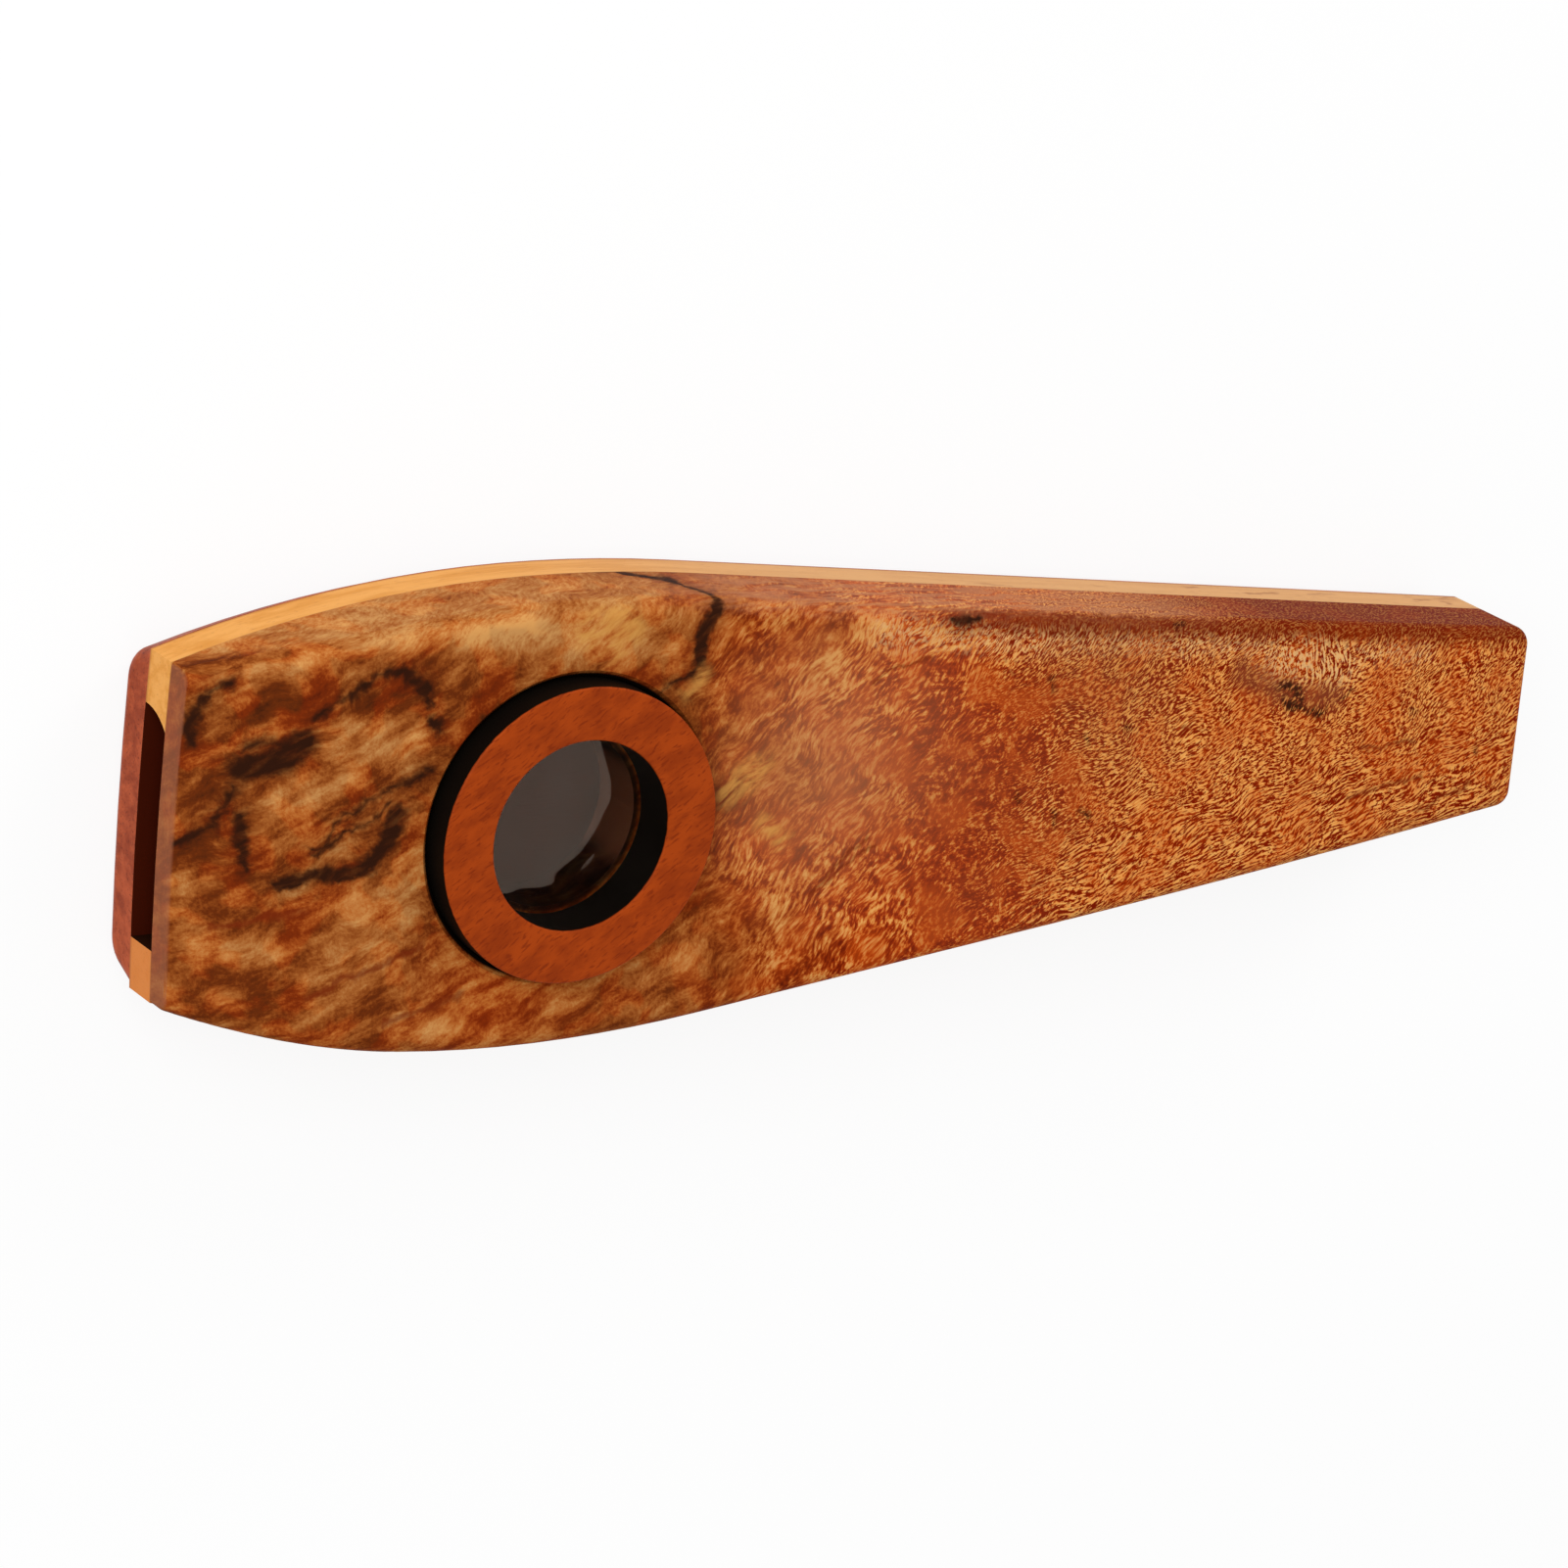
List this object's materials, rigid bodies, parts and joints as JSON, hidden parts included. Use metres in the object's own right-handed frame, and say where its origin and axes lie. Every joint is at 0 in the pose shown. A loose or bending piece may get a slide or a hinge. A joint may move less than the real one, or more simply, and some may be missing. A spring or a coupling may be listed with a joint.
{
  "type": "kazoo",
  "caption": "Flat paddle-shaped wooden kazoo of laminated layers with a slot mouth, an air channel and a clear film held in the face by a removable wooden ring.",
  "frame": {"origin": "centre of the bounding box at the resting back face", "axes": "+X along the length from the mouth end to the narrow end, +Y across the width, +Z out of the front face, the way the membrane ring faces"},
  "size_m": [0.1282, 0.037, 0.0181],
  "materials": {
    "back_wood": "smooth sanded and oiled reddish brown wood",
    "rail_wood": "smooth sanded and oiled pale golden wood",
    "front_wood": "satin oiled orange brown wood with flecked figure and dark streaks",
    "film": "glossy clear film, slightly wrinkled",
    "ring_wood": "plain red brown wood with blackened cut walls"
  },
  "bodies": {
    "wooden_body": {"back_plate": "back_wood", "left_rail": "rail_wood", "right_rail": "rail_wood", "front_plate": "front_wood"},
    "film": {"membrane": "film"},
    "ring": {"membrane_ring": "ring_wood"}
  },
  "joints": [
    {"name": "membrane_lift", "type": "slide", "parent": "wooden_body", "child": "film", "axis": [0, 0, 1], "range_m": [0, 0.02]},
    {"name": "ring_pull", "type": "slide", "parent": "film", "child": "ring", "axis": [0, 0, 1], "range_m": [0, 0.012]}
  ]
}
